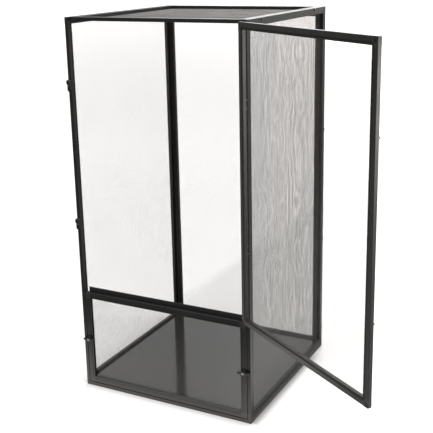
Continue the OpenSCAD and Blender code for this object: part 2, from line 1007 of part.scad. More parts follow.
base_side_rails();
base_cross_rails();
base_corners();
floor_panel();
left_front_stile();
left_back_stile();
left_rails();
left_corners();
left_mesh();
left_spline();
right_front_stile();
right_back_stile();
right_rails();
right_corners();
right_mesh();
right_spline();
back_left_stile();
back_right_stile();
back_rails();
back_corners();
back_mesh();
back_spline();
top_left_rail();
top_right_rail();
top_cross_rails();
top_corners();
top_mesh();
top_spline();
upper_hinge_stile();
upper_latch_stile();
upper_door_rails();
upper_door_corners();
upper_door_mesh();
upper_door_spline();
lower_left_stile();
lower_right_stile();
lower_door_rails();
lower_door_corners();
lower_door_mesh();
lower_door_spline();
stop_strip();
strip_screws();
pivot_pins();
hinge_frame_leaves();
hinge_door_leaves();
hinge_pins();
frame_leaf_screws();
door_leaf_screws();
pull_studs();
high_turn_button();
low_turn_button();
button_screws();
left_latch_knob();
left_latch_spindle();
right_latch_knob();
right_latch_spindle();
panel_screws();
base_screws();
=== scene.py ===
"""Looks of a tall screen terrarium for reptiles.

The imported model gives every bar, door and joint its place. This script dresses it: woven
mesh in all six panels, splines, moulded corner blocks, hinges, latches and screws, then the
finishes, the studio and the camera.
"""

from __future__ import annotations

import json
import logging
import math
from contextlib import contextmanager
from dataclasses import dataclass, field
from enum import Enum
from typing import Any, Callable, Iterator, Sequence

import bpy
from mathutils import Matrix, Vector

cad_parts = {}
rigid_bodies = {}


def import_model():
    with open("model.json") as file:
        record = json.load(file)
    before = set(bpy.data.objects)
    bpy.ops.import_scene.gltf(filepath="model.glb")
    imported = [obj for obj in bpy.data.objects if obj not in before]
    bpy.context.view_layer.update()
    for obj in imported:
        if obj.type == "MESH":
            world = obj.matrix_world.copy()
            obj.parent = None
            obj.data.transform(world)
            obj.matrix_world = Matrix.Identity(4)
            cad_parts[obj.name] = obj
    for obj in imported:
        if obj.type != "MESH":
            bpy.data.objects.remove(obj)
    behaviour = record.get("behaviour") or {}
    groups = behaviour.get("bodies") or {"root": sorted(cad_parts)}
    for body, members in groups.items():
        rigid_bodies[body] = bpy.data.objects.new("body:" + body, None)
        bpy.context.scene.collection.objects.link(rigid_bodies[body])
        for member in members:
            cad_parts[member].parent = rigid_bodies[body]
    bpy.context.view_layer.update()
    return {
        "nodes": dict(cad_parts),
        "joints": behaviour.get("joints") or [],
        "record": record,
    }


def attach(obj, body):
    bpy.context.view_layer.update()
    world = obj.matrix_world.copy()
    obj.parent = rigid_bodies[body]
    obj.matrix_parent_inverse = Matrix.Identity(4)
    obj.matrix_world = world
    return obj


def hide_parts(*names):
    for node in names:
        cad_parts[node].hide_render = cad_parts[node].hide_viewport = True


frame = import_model()

log = logging.getLogger("terrarium")

MM = 0.001
PHOTO_PX = 433
Range = tuple[float, float]


# ---------------------------------------------------------------- shader maths


class Graph:
    """The node tree of one material or world, with one method that adds any node."""

    def __init__(self, owner: bpy.types.ID) -> None:
        """Empties the owner's node tree.

        Args:
            owner: The material or world whose nodes are built.
        """
        owner.use_nodes = True
        self.tree = owner.node_tree
        self.tree.nodes.clear()

    def node(self, kind: str, settings: dict[str, Any] | None = None, **sockets: Any) -> bpy.types.Node:
        """Adds a node.

        Args:
            kind: Blender's type name of the node.
            settings: Properties set before the sockets.
            sockets: Values or links by input name, with underscores for spaces, or by
                index as in1, in2.

        Returns:
            The new node.
        """
        made = self.tree.nodes.new(kind)
        for name, value in (settings or {}).items():
            setattr(made, name, value)
        for name, value in sockets.items():
            is_index = name[:2] == "in" and name[2:].isdigit()
            socket = made.inputs[int(name[2:])] if is_index else made.inputs[name.replace("_", " ")]
            self.feed(socket, value)
        return made

    def feed(self, socket: bpy.types.NodeSocket, value: Any) -> None:
        """Links a value or socket to an input, or sets the input's own value."""
        if isinstance(value, Value):
            value = value.socket
        if isinstance(value, bpy.types.NodeSocket):
            self.tree.links.new(value, socket)
        else:
            socket.default_value = value

    def value(self, socket: bpy.types.NodeSocket) -> "Value":
        """Wraps an output socket for shader maths."""
        return Value(self, socket)

    def axes(self, coordinates: str) -> list["Value"]:
        """The three axes of a kind of coordinates.

        Args:
            coordinates: Their name, Object or Generated.

        Returns:
            The values along X, Y and Z.
        """
        source = self.node("ShaderNodeTexCoord").outputs[coordinates]
        split = self.node("ShaderNodeSeparateXYZ", None, in0=source)
        return [self.value(axis) for axis in split.outputs]

    def mixed(self, factor: Any, first: bpy.types.Node, second: bpy.types.Node) -> bpy.types.Node:
        """A mix of two shaders, the second one where the factor is 1."""
        return self.node("ShaderNodeMixShader", None, in0=factor,
                         in1=first.outputs[0], in2=second.outputs[0])

    def seen_directly(self, rays: bpy.types.Node) -> "Value":
        """1 for rays from the camera, straight or through something clear, and 0 for others."""
        return self.value(rays.outputs["Is Camera Ray"]).at_least(
            self.value(rays.outputs["Is Transmission Ray"]))


class Value:
    """A node's output that Python's operators turn into Math nodes."""

    def __init__(self, graph: Graph, socket: bpy.types.NodeSocket) -> None:
        """Keeps the graph and the socket."""
        self.graph = graph
        self.socket = socket

    def _math(self, operation: str, first: Any, second: Any) -> "Value":
        """Adds one Math node on two values."""
        made = self.graph.node("ShaderNodeMath", {"operation": operation}, in0=first, in1=second)
        return Value(self.graph, made.outputs[0])

    def __add__(self, other: Any) -> "Value":
        """self + other"""
        return self._math("ADD", self, other)

    def __radd__(self, other: Any) -> "Value":
        """other + self"""
        return self._math("ADD", other, self)

    def __sub__(self, other: Any) -> "Value":
        """self - other"""
        return self._math("SUBTRACT", self, other)

    def __rsub__(self, other: Any) -> "Value":
        """other - self"""
        return self._math("SUBTRACT", other, self)

    def __mul__(self, other: Any) -> "Value":
        """self * other"""
        return self._math("MULTIPLY", self, other)

    def __rmul__(self, other: Any) -> "Value":
        """other * self"""
        return self._math("MULTIPLY", other, self)

    def __truediv__(self, other: Any) -> "Value":
        """self / other"""
        return self._math("DIVIDE", self, other)

    def __pow__(self, other: Any) -> "Value":
        """self ** other"""
        return self._math("POWER", self, other)

    def at_least(self, other: Any) -> "Value":
        """The larger of self and other."""
        return self._math("MAXIMUM", self, other)

    def at_most(self, other: Any) -> "Value":
        """The smaller of self and other."""
        return self._math("MINIMUM", self, other)

    def step(self, low: float, high: float) -> "Value":
        """A soft step from 0 at one value to 1 at another."""
        made = self.graph.node("ShaderNodeMapRange", {"interpolation_type": "SMOOTHSTEP"},
                               in0=self, in1=low, in2=high)
        return Value(self.graph, made.outputs[0])

    def band(self, rise: Range, fall: Range) -> "Value":
        """A soft step up over one range times a soft step down over another."""
        return self.step(*rise) * (1.0 - self.step(*fall))


def grey(level: float, warm: float = 0.0) -> tuple[float, float, float, float]:
    """A grey with a slight warmth, as a linear colour."""
    return (level * (1 + warm), level, level * (1 - warm), 1.0)


class Surface(Graph):
    """A Principled material on Object coordinates."""

    def __init__(self, name: str) -> None:
        """Makes the material and its coordinates.

        Args:
            name: The material's name.
        """
        self.material = bpy.data.materials.new(name)
        super().__init__(self.material)
        self.place = self.node("ShaderNodeTexCoord").outputs["Object"]
        self.shader = self.node("ShaderNodeBsdfPrincipled")
        output = self.node("ShaderNodeOutputMaterial")
        self.tree.links.new(self.shader.outputs[0], output.inputs[0])

    def stretched(self, scale: Sequence[float]) -> bpy.types.NodeSocket:
        """Object coordinates stretched by a factor on each axis."""
        return self.node("ShaderNodeMapping", None, Vector=self.place, Scale=scale).outputs[0]

    def noise(self, scale: float, detail: float = 2.0, along: Any = None) -> Value:
        """A noise pattern.

        Args:
            scale: Cells per metre.
            detail: Octaves.
            along: Coordinates, or None for the plain ones.

        Returns:
            The noise, about 0.5 on average.
        """
        made = self.node("ShaderNodeTexNoise", None, Vector=along or self.place, Scale=scale, Detail=detail)
        return self.value(made.outputs["Fac"])

    def speckle(self, scale: float, size: float) -> Value:
        """Small round specks: 1 at a speck's middle and 0 between specks.

        Args:
            scale: Specks per metre.
            size: A speck's radius as a share of the spacing.

        Returns:
            The specks' pattern.
        """
        made = self.node("ShaderNodeTexVoronoi", None, Vector=self.place, Scale=scale)
        return (1.0 - self.value(made.outputs["Distance"]) / size).at_least(0.0)

    def blend(self, factor: Value, low: Any, high: Any) -> bpy.types.NodeSocket:
        """A colour between two colours."""
        made = self.node("ShaderNodeMix", {"data_type": "RGBA"}, in0=factor, in6=low, in7=high)
        return made.outputs[2]

    def shades(self, factor: Value, level: float, tones: Range, warm: float = 0.0) -> bpy.types.NodeSocket:
        """A grey that varies between two shares of its level."""
        return self.blend(factor, grey(level * tones[0], warm), grey(level * tones[1], warm))

    def bump(self, height: Value, depth: float, strength: float = 1.0) -> bpy.types.NodeSocket:
        """A bumped normal.

        Args:
            height: The relief, 0 to 1.
            depth: The relief's full height in metres.
            strength: How much of it shows.

        Returns:
            The normal.
        """
        made = self.node("ShaderNodeBump", None, Height=height, Distance=depth, Strength=strength)
        return made.outputs[0]

    def dress(self, **sockets: Any) -> bpy.types.Material:
        """Feeds the Principled shader's sockets and returns the material."""
        for name, value in sockets.items():
            self.feed(self.shader.inputs[name.replace("_", " ")], value)
        return self.material


# ---------------------------------------------------------------- finishes


@dataclass(frozen=True)
class PowderCoat:
    """Black powder coat on extruded bars."""

    name: str = "black_powder_coat"
    level: float = 0.0125
    roughness: float = 0.34
    tones: tuple[float, float] = (0.8, 1.3)
    peel_per_m: float = 950.0
    peel_depth: float = 0.04 * MM
    peel_strength: float = 0.5
    clouds_per_m: float = 14.0
    cloud_rough: float = 0.14
    polish: float = 0.06
    specks_per_m: float = 420.0
    speck_size: float = 0.16
    speck_groups_per_m: float = 60.0
    dust_and_top_light_level: float = 0.12
    dust_cover: float = 0.25
    dust_rough: float = 0.2
    ior: float = 1.5
    shine: float = 0.4

    def build(self) -> bpy.types.Material:
        """Satin black with orange peel, faint handling marks and a few dusty specks.

        Returns:
            The material.
        """
        surface = Surface(self.name)
        peel = surface.noise(self.peel_per_m, 3.0)
        cloud = surface.noise(self.clouds_per_m, 4.0)
        dust_and_top_light = surface.speckle(self.specks_per_m, self.speck_size) * surface.noise(self.speck_groups_per_m)
        tone = surface.shades(cloud, self.level, self.tones)
        rough = self.roughness - self.polish + cloud * self.cloud_rough + dust_and_top_light * self.dust_rough
        return surface.dress(
            Base_Color=surface.blend(dust_and_top_light * self.dust_cover, tone, grey(self.dust_and_top_light_level)),
            Roughness=rough, Normal=surface.bump(peel, self.peel_depth, self.peel_strength),
            IOR=self.ior, Specular_IOR_Level=self.shine,
        )


@dataclass(frozen=True)
class MouldedPlastic:
    """Black moulded plastic with a fine spark-eroded grain."""

    name: str = "black_moulded_plastic"
    level: float = 0.016
    roughness: float = 0.42
    tones: tuple[float, float] = (0.75, 1.4)
    grain_per_m: float = 1900.0
    grain_depth: float = 0.05 * MM
    grain_strength: float = 0.5
    rubs_per_m: float = 55.0
    unrubbed: float = 0.12
    rub_polish: float = 0.22
    ior: float = 1.49

    def build(self) -> bpy.types.Material:
        """Fine grain, with slightly glossier rubbed places.

        Returns:
            The material.
        """
        surface = Surface(self.name)
        grain = surface.noise(self.grain_per_m)
        rub = surface.noise(self.rubs_per_m, 3.0)
        return surface.dress(
            Base_Color=surface.shades(rub, self.level, self.tones),
            Roughness=self.roughness + self.unrubbed - rub * self.rub_polish,
            Normal=surface.bump(grain, self.grain_depth, self.grain_strength), IOR=self.ior,
        )


@dataclass(frozen=True)
class DullWire:
    """Thin dull aluminium wire of the woven mesh."""

    name: str = "dull_wire"
    level: float = 0.125
    warm: float = 0.04
    roughness: float = 0.42
    tones: tuple[float, float] = (0.85, 1.15)
    drifts_per_m: float = 6.0
    drift_rough: float = 0.15
    polish: float = 0.05
    # painted light: the top sheet's wire is lighter and less metallic than the rest, for the light falling on
    # it from above
    dust_and_top_light_level: float = 0.27
    painted_top_light_warm: float = 0.02
    painted_top_light_from: float = 0.900
    painted_top_light_over: float = 0.004
    painted_top_light_dulls: float = 0.6

    def build(self) -> bpy.types.Material:
        """Dull grey wire whose tone varies slowly over the panel, with painted light on the top sheet.

        Returns:
            The material.
        """
        surface = Surface(self.name)
        drift = surface.noise(self.drifts_per_m, 3.0)
        tone = surface.shades(drift, self.level, self.tones, self.warm)
        height = surface.node("ShaderNodeSeparateXYZ", None, in0=surface.place).outputs[2]
        # painted light from above: wire higher than the side panels, on the top sheet, is lighter and duller
        dust_and_top_light = ((surface.value(height) - self.painted_top_light_from) / self.painted_top_light_over).at_least(0.0).at_most(1.0)
        return surface.dress(
            Base_Color=surface.blend(dust_and_top_light, tone, grey(self.dust_and_top_light_level, self.painted_top_light_warm)),
            Metallic=1.0 - dust_and_top_light * self.painted_top_light_dulls,
            Roughness=self.roughness + drift * self.drift_rough - self.polish,
        )


@dataclass(frozen=True)
class SplineRubber:
    """Matt black rubber cord."""

    name: str = "spline_rubber"
    level: float = 0.010
    roughness: float = 0.7
    tones: tuple[float, float] = (0.7, 1.8)
    blooms_per_m: float = 160.0
    bloom_rough: float = 0.2
    grain_per_m: float = 1500.0
    grain_depth: float = 0.08 * MM
    grain_strength: float = 0.5

    def build(self) -> bpy.types.Material:
        """Dull black with a dry bloom.

        Returns:
            The material.
        """
        surface = Surface(self.name)
        bloom = surface.noise(self.blooms_per_m, 3.0)
        grain = surface.noise(self.grain_per_m)
        return surface.dress(
            Base_Color=surface.shades(bloom, self.level, self.tones),
            Roughness=self.roughness + bloom * self.bloom_rough,
            Normal=surface.bump(grain, self.grain_depth, self.grain_strength),
        )


@dataclass(frozen=True)
class FloorSheet:
    """Smooth dark grey plastic sheet."""

    name: str = "black_floor_sheet"
    level: float = 0.0165
    warm: float = 0.02
    roughness: float = 0.08
    tones: tuple[float, float] = (0.92, 1.08)
    smears_per_m: float = 7.0
    smear_stretch: tuple[float, float, float] = (1.0, 2.2, 1.0)
    smear_rough: float = 0.07
    scratches_per_m: float = 500.0
    scratch_stretch: tuple[float, float, float] = (1.0, 0.04, 1.0)
    scratch_rough: float = 0.05
    polish: float = 0.03
    waves_per_m: float = 9.0
    wave_depth: float = 0.2 * MM
    wave_strength: float = 0.15
    ior: float = 1.73

    def build(self) -> bpy.types.Material:
        """Softly glossy, with rolled waviness, smears and fine scratches.

        Returns:
            The material.
        """
        surface = Surface(self.name)
        smear = surface.noise(self.smears_per_m, 4.0, surface.stretched(self.smear_stretch))
        scratch = surface.noise(self.scratches_per_m, 2.0, surface.stretched(self.scratch_stretch))
        wave = surface.noise(self.waves_per_m, 1.0)
        rough = self.roughness - self.polish + smear * self.smear_rough + scratch * self.scratch_rough
        return surface.dress(
            Base_Color=surface.shades(smear, self.level, self.tones, self.warm), Roughness=rough,
            Normal=surface.bump(wave, self.wave_depth, self.wave_strength), IOR=self.ior,
        )


@dataclass(frozen=True)
class ZincSteel:
    """Zinc-plated steel of the screws, pins and studs."""

    name: str = "zinc_steel"
    level: float = 0.62
    warm: float = 0.01
    roughness: float = 0.28
    tones: tuple[float, float] = (0.82, 1.08)
    grain_per_m: float = 2600.0
    grain_depth: float = 0.03 * MM
    grain_strength: float = 0.5
    patches_per_m: float = 240.0
    patch_rough: float = 0.18
    polish: float = 0.05

    def build(self) -> bpy.types.Material:
        """Metal with a fine turned grain and duller patches.

        Returns:
            The material.
        """
        surface = Surface(self.name)
        grain = surface.noise(self.grain_per_m)
        dull = surface.noise(self.patches_per_m, 3.0)
        return surface.dress(
            Base_Color=surface.shades(dull, self.level, self.tones, self.warm), Metallic=1.0,
            Roughness=self.roughness - self.polish + dull * self.patch_rough,
            Normal=surface.bump(grain, self.grain_depth, self.grain_strength),
        )


class Finish(Enum):
    """The finishes on the cage."""

    BARS = PowderCoat()
    BLOCKS = MouldedPlastic()
    LATCHES = MouldedPlastic(name="black_latch_plastic", level=0.009, roughness=0.36, grain_per_m=1400.0)
    WIRE = DullWire()
    SPLINE = SplineRubber()
    FLOOR = FloorSheet()
    STEEL = ZincSteel()
    DULL_STEEL = ZincSteel(name="dull_steel", level=0.4, roughness=0.45)
    PALE_STEEL = ZincSteel(name="pale_steel", level=0.85, roughness=0.5)
    BLACK_SCREWS = ZincSteel(name="blackened_steel", level=0.14, roughness=0.32)
    HINGES = PowderCoat(name="black_hinge_paint", level=0.016, roughness=0.28, peel_per_m=1500.0)


_built: dict[Finish, bpy.types.Material] = {}


def finish_material(finish: Finish) -> bpy.types.Material:
    """The material of a finish, built when it is first asked for."""
    if finish not in _built:
        _built[finish] = finish.value.build()
    return _built[finish]


# ---------------------------------------------------------------- modelling by hand


LEVEL = 0.9  # least upward part of a level face's normal
FLATNESS = 90  # weight of the larger faces in the shading


def deselect() -> None:
    """Deselects every object, the CAD nodes among them."""
    for thing in bpy.context.view_layer.objects:
        thing.select_set(False)


def pick(piece: bpy.types.Object) -> None:
    """Makes one object the only selected and active one.

    Args:
        piece: The object.
    """
    deselect()
    piece.select_set(True)
    bpy.context.view_layer.objects.active = piece


@contextmanager
def editing(piece: bpy.types.Object, mode: str = "FACE") -> Iterator[None]:
    """Edit mode on one piece.

    Args:
        piece: The piece.
        mode: The kind of element that can be selected.

    Yields:
        Nothing, once edit mode is on.
    """
    pick(piece)
    bpy.ops.object.mode_set(mode="EDIT")
    bpy.ops.mesh.select_mode(type=mode)
    try:
        yield
    finally:
        bpy.ops.object.mode_set(mode="OBJECT")


def faces_up(face: bpy.types.MeshPolygon) -> bool:
    """Whether a face looks up."""
    return face.normal.z > LEVEL


def faces_down(face: bpy.types.MeshPolygon) -> bool:
    """Whether a face looks down."""
    return face.normal.z < -LEVEL


def choose_faces(piece: bpy.types.Object, test: Callable[[bpy.types.MeshPolygon], bool]) -> None:
    """Selects faces, in object mode, for the next edit.

    Args:
        piece: The piece.
        test: Whether a face is wanted.
    """
    mesh = piece.data
    mesh.vertices.foreach_set("select", [False] * len(mesh.vertices))
    mesh.edges.foreach_set("select", [False] * len(mesh.edges))
    mesh.polygons.foreach_set("select", [bool(test(face)) for face in mesh.polygons])
    mesh.update()


def apply_modifier(piece: bpy.types.Object, kind: str, **settings: Any) -> None:
    """Adds a modifier and applies it.

    Args:
        piece: The piece.
        kind: The modifier's type.
        settings: Its settings by name.
    """
    pick(piece)
    modifier = piece.modifiers.new(kind.lower(), kind)
    for name, value in settings.items():
        setattr(modifier, name, value)
    bpy.ops.object.modifier_apply(modifier=modifier.name)


def round_edges(piece: bpy.types.Object, width: float, segments: int = 2, angle: float = 35.0) -> None:
    """Bevels the sharp edges and smooths the shading, with the flat faces kept flat.

    Args:
        piece: The piece.
        width: The bevel's width in metres.
        segments: Its segments.
        angle: Edges sharper than this, in degrees, are bevelled.
    """
    apply_modifier(piece, "BEVEL", width=width, segments=segments, limit_method="ANGLE",
                   angle_limit=math.radians(angle), use_clamp_overlap=True)
    pick(piece)
    bpy.ops.object.shade_smooth_by_angle(angle=math.radians(angle))
    apply_modifier(piece, "WEIGHTED_NORMAL", mode="FACE_AREA", weight=FLATNESS, keep_sharp=True)


def block(low: Sequence[float], high: Sequence[float]) -> bpy.types.Object:
    """A plain box, as the start of a piece.

    Args:
        low: Its lowest corner.
        high: Its highest corner.

    Returns:
        The box, with its place in its mesh.
    """
    middle = [(a + b) / 2 for a, b in zip(low, high)]
    deselect()
    bpy.ops.mesh.primitive_cube_add(size=1.0, location=middle)
    made = bpy.context.object
    made.scale = [b - a for a, b in zip(low, high)]
    bpy.ops.object.transform_apply(location=True, rotation=True, scale=True)
    return made


def rod(radius: float, low: float, high: float, sides: int) -> bpy.types.Object:
    """A round rod along Z, as the start of a turned piece.

    Args:
        radius: Its radius.
        low: Its lower end.
        high: Its upper end.
        sides: Sides of its outline.

    Returns:
        The rod, with its place in its mesh.
    """
    deselect()
    bpy.ops.mesh.primitive_cylinder_add(
        vertices=sides, radius=radius, depth=high - low, location=(0, 0, (low + high) / 2))
    made = bpy.context.object
    bpy.ops.object.transform_apply(location=True, rotation=True, scale=True)
    return made


def join(pieces: Sequence[bpy.types.Object]) -> bpy.types.Object:
    """Joins pieces into the first one.

    Args:
        pieces: The pieces.

    Returns:
        The first piece with all the others in it.
    """
    deselect()
    for piece in pieces:
        piece.select_set(True)
    bpy.context.view_layer.objects.active = pieces[0]
    if len(pieces) > 1:
        bpy.ops.object.join()
    return pieces[0]


def subtract(piece: bpy.types.Object, cutter: bpy.types.Object) -> None:
    """Cuts one closed piece from another and deletes the cutter."""
    apply_modifier(piece, "BOOLEAN", object=cutter, operation="DIFFERENCE", solver="EXACT")
    bpy.data.objects.remove(cutter)


def moved(piece: bpy.types.Object, place: Matrix) -> bpy.types.Object:
    """Puts a place into a piece's mesh, turning its faces out again after a mirror.

    Args:
        piece: The piece.
        place: The place.

    Returns:
        The same piece.
    """
    piece.data.transform(place)
    if place.determinant() < 0:
        with editing(piece):
            bpy.ops.mesh.select_all(action="SELECT")
            bpy.ops.mesh.flip_normals()
    return piece


def copied(piece: bpy.types.Object, place: Matrix) -> bpy.types.Object:
    """A copy with its own mesh, at a place.

    Args:
        piece: The piece.
        place: Where the copy goes.

    Returns:
        The copy.
    """
    twin = piece.copy()
    twin.data = piece.data.copy()
    bpy.context.scene.collection.objects.link(twin)
    return moved(twin, place)


def settle(piece: bpy.types.Object, name: str, body: str, finish: Finish,
           nodes: Sequence[str]) -> bpy.types.Object:
    """Names and dresses a finished piece, ties it to its body and hides the CAD nodes that it stands for.

    Args:
        piece: The piece, with its place in its mesh.
        name: Its name.
        body: The body it moves with.
        finish: Its finish.
        nodes: The CAD nodes that it stands for.

    Returns:
        The piece.
    """
    piece.name = name
    piece.data.name = name
    piece.data.materials.clear()
    piece.data.materials.append(finish_material(finish))
    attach(piece, body)
    if nodes:
        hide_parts(*nodes)
    log.info("%s: %d faces on %s", name, len(piece.data.polygons), body)
    return piece


# ---------------------------------------------------------------- reading the frame


SAME_POINT = 0.001 * MM
SAME_PLANE = math.radians(0.5)


@dataclass(frozen=True)
class Span:
    """A box between two corners, in metres."""

    low: Vector
    high: Vector

    @property
    def middle(self) -> Vector:
        """The box's middle."""
        return (self.low + self.high) / 2

    @property
    def size(self) -> Vector:
        """The box's size."""
        return self.high - self.low


def span_of(points: Sequence[Vector]) -> Span:
    """The box round some points.

    Args:
        points: The points.

    Returns:
        The box.
    """
    low = Vector([min(point[axis] for point in points) for axis in range(3)])
    high = Vector([max(point[axis] for point in points) for axis in range(3)])
    return Span(low, high)


def span_in(node: str, place: Matrix) -> Span:
    """A CAD node's box, measured in a panel's own frame."""
    back = place.inverted()
    return span_of([back @ vertex.co for vertex in frame["nodes"][node].data.vertices])


def solids_in(node: str, place: Matrix) -> list[Span]:
    """The boxes of a node's separate solids, measured in a panel's own frame.

    Args:
        node: The CAD node.
        place: The panel's place.

    Returns:
        One box for each solid, from the lowest up.
    """
    merged = merged_copy(node)
    moved(merged, place.inverted())
    with editing(merged):
        bpy.ops.mesh.select_all(action="SELECT")
        bpy.ops.mesh.separate(type="LOOSE")
    solids = list(bpy.context.selected_objects)
    boxes = []
    for solid in solids:
        boxes.append(span_of([vertex.co for vertex in solid.data.vertices]))
        bpy.data.objects.remove(solid)
    return sorted(boxes, key=_from_below)


def _from_below(box: Span) -> tuple[float, float, float]:
    """Sorts boxes by height, then from front to back, with tenths of a millimetre set aside."""
    return round(box.low.z, 4), round(box.low.y, 4), box.low.x


def merged_copy(node: str) -> bpy.types.Object:
    """A copy of a CAD node with its triangles merged into whole faces.

    Args:
        node: The CAD node.

    Returns:
        The copy.
    """
    twin = bpy.data.objects.new(node, frame["nodes"][node].data.copy())
    bpy.context.scene.collection.objects.link(twin)
    with editing(twin, "VERT"):
        bpy.ops.mesh.select_all(action="SELECT")
        bpy.ops.mesh.remove_doubles(threshold=SAME_POINT)
        bpy.ops.mesh.dissolve_limited(angle_limit=SAME_PLANE)
    return twin


def body_of(node: str) -> str:
    """The body that a CAD node belongs to."""
    bodies = frame["record"]["behaviour"]["bodies"]
    return next(name for name, nodes in bodies.items() if node in nodes)


def joint(name: str) -> dict[str, Any]:
    """A joint of the record by its name."""
    return next(entry for entry in frame["joints"] if entry["name"] == name)


def open_door_place() -> Matrix:
    """The turn from the closed tall door to where it stands open.

    Returns:
        The turn about the hinge axis.
    """
    swing = joint("upper_door_swing")
    pivot = Vector(swing["pos_m"])
    angle = -math.radians(swing["range_deg"][0])
    return Matrix.Translation(pivot) @ Matrix.Rotation(angle, 4, "Z") @ Matrix.Translation(-pivot)


# ---------------------------------------------------------------- panels


def clouds(name: str, scale: float) -> bpy.types.Texture:
    """A noise that bends or shifts the wires of the mesh.

    Args:
        name: The texture's name, used again for the next panel.
        scale: Size of its clouds in metres.
    """
    if name not in bpy.data.textures:
        made = bpy.data.textures.new(name, "CLOUDS")
        made.noise_scale = scale
        made.noise_depth = 1
    return bpy.data.textures[name]


@dataclass
class MeshPanel:
    """The woven mesh and the spline of one panel.

    In the panel's own frame X runs across it, Y from its outer face inwards and Z up. Each
    wire follows one slow noise over the panel and one quick noise that is drawn out along it.
    """

    name: str
    body: str
    place: Matrix
    seed: float
    pitch: float = 1.75 * MM
    wire: float = 0.195 * MM
    wire_sides: int = 5
    stretch: float = 32 * MM
    wander: float = 2.5 * MM
    wander_scale: float = 45 * MM
    uneven: float = 0.5 * MM
    uneven_scale: float = 3.5 * MM
    along: float = 0.03
    sunk: float = 0.2 * MM
    hem: float = 0.3 * MM
    hem_sunk: float = 0.1 * MM
    cord_r: float = 0.84 * MM
    cord_steps: int = 2
    bend_steps: int = 4

    def build(self) -> None:
        """Builds the mesh and the spline."""
        sheet = span_in(f"{self.name}_mesh", self.place)
        cord = span_in(f"{self.name}_spline", self.place)
        self._weave(sheet)
        self._spline(cord)

    def _strands(self, first: Vector, turn: Matrix, length: float, step: Vector,
                 count: int) -> bpy.types.Object:
        """A row of wires that wander a little from their straight lines, as woven wire does.

        Args:
            first: Middle of the first wire.
            turn: From Z to the wires' direction.
            length: Length of a wire.
            step: From one wire to the next.
            count: Number of wires.

        Returns:
            The row as one object.
        """
        pieces = max(2, round(length / self.stretch))
        piece = length / pieces
        wire = rod(self.wire / 2, -length / 2, piece - length / 2, self.wire_sides)
        choose_faces(wire, faces_up)
        with editing(wire):
            for _ in range(pieces - 1):
                bpy.ops.mesh.extrude_region_move(TRANSFORM_OT_translate={"value": (0.0, 0.0, piece)})
        moved(wire, Matrix.Translation(first) @ turn)
        apply_modifier(wire, "ARRAY", count=count, use_relative_offset=False,
                       use_constant_offset=True, constant_offset_displace=step)
        way = "X" if step.x else "Z"
        aside = Matrix.Translation((0.0, self.seed, 0.0))
        moved(wire, aside)
        apply_modifier(wire, "DISPLACE", texture=clouds("wander", self.wander_scale), mid_level=0.5,
                       texture_coords="LOCAL", direction=way, strength=self.wander)
        squash = Matrix.Diagonal((1.0, 1.0, self.along, 1.0) if step.x else (self.along, 1.0, 1.0, 1.0))
        moved(wire, squash)
        apply_modifier(wire, "DISPLACE", texture=clouds("uneven", self.uneven_scale), mid_level=0.5,
                       texture_coords="LOCAL", direction=way, strength=self.uneven)
        return moved(wire, (squash @ aside).inverted())

    def _weave(self, sheet: Span) -> None:
        """Two crossing layers of fine wire, bound at the edge by the folded hem.

        Args:
            sheet: The CAD mesh's box in the panel's frame.
        """
        level = sheet.high.y - self.sunk
        lay = self.wire / 2
        across = int(sheet.size.x / self.pitch)
        upward = int(sheet.size.z / self.pitch)
        lead_x = (sheet.size.x - (across - 1) * self.pitch) / 2
        lead_z = (sheet.size.z - (upward - 1) * self.pitch) / 2
        uprights = self._strands(
            Vector((sheet.low.x + lead_x, level + lay, sheet.middle.z)),
            Matrix.Identity(4), sheet.size.z, Vector((self.pitch, 0, 0)), across)
        levels = self._strands(
            Vector((sheet.middle.x, level - lay, sheet.low.z + lead_z)),
            Matrix.Rotation(math.radians(90), 4, "Y"), sheet.size.x,
            Vector((0, 0, self.pitch)), upward)
        pieces = [uprights, levels, *self._hem(sheet)]
        woven = moved(join(pieces), self.place)
        settle(woven, f"{self.name}_woven_mesh", self.body, Finish.WIRE, [f"{self.name}_mesh"])

    def _hem(self, sheet: Span) -> list[bpy.types.Object]:
        """The mesh's edge, folded down beside the spline.

        Args:
            sheet: The CAD mesh's box in the panel's frame.

        Returns:
            Four thin walls.
        """
        thick = self.hem
        low, high = sheet.low, sheet.high
        top = high.y - self.hem_sunk
        return [
            block((low.x, low.y, low.z), (low.x + thick, top, high.z)),
            block((high.x - thick, low.y, low.z), (high.x, top, high.z)),
            block((low.x + thick, low.y, low.z), (high.x - thick, top, low.z + thick)),
            block((low.x + thick, low.y, high.z - thick), (high.x - thick, top, high.z)),
        ]

    def _spline(self, cord: Span) -> None:
        """A round cord pressed into the channel, with its corners bent round.

        Args:
            cord: The CAD spline's box in the panel's frame.
        """
        radius = self.cord_r
        deselect()
        bpy.ops.mesh.primitive_plane_add(size=1.0)
        path = bpy.context.object
        path.scale = (cord.size.x - 2 * radius, cord.size.z - 2 * radius, 1.0)
        bpy.ops.object.transform_apply(location=True, rotation=True, scale=True)
        with editing(path, "VERT"):
            bpy.ops.mesh.select_all(action="SELECT")
            bpy.ops.mesh.bevel(offset=2 * radius, segments=self.bend_steps, affect="VERTICES")
            bpy.ops.mesh.select_all(action="SELECT")
            bpy.ops.mesh.delete(type="ONLY_FACE")
        pick(path)
        bpy.ops.object.convert(target="CURVE")
        path = bpy.context.object
        path.data.bevel_depth = radius
        path.data.bevel_resolution = self.cord_steps
        bpy.ops.object.convert(target="MESH")
        path = bpy.context.object
        upright = Matrix.Rotation(math.radians(90), 4, "X")
        middle = Vector((cord.middle.x, cord.high.y - radius, cord.middle.z))
        moved(path, self.place @ Matrix.Translation(middle) @ upright)
        with editing(path):
            bpy.ops.mesh.select_all(action="SELECT")
            bpy.ops.mesh.normals_make_consistent(inside=False)
        bpy.ops.object.shade_smooth()
        settle(path, f"{self.name}_spline_cord", self.body, Finish.SPLINE,
               [f"{self.name}_spline"])


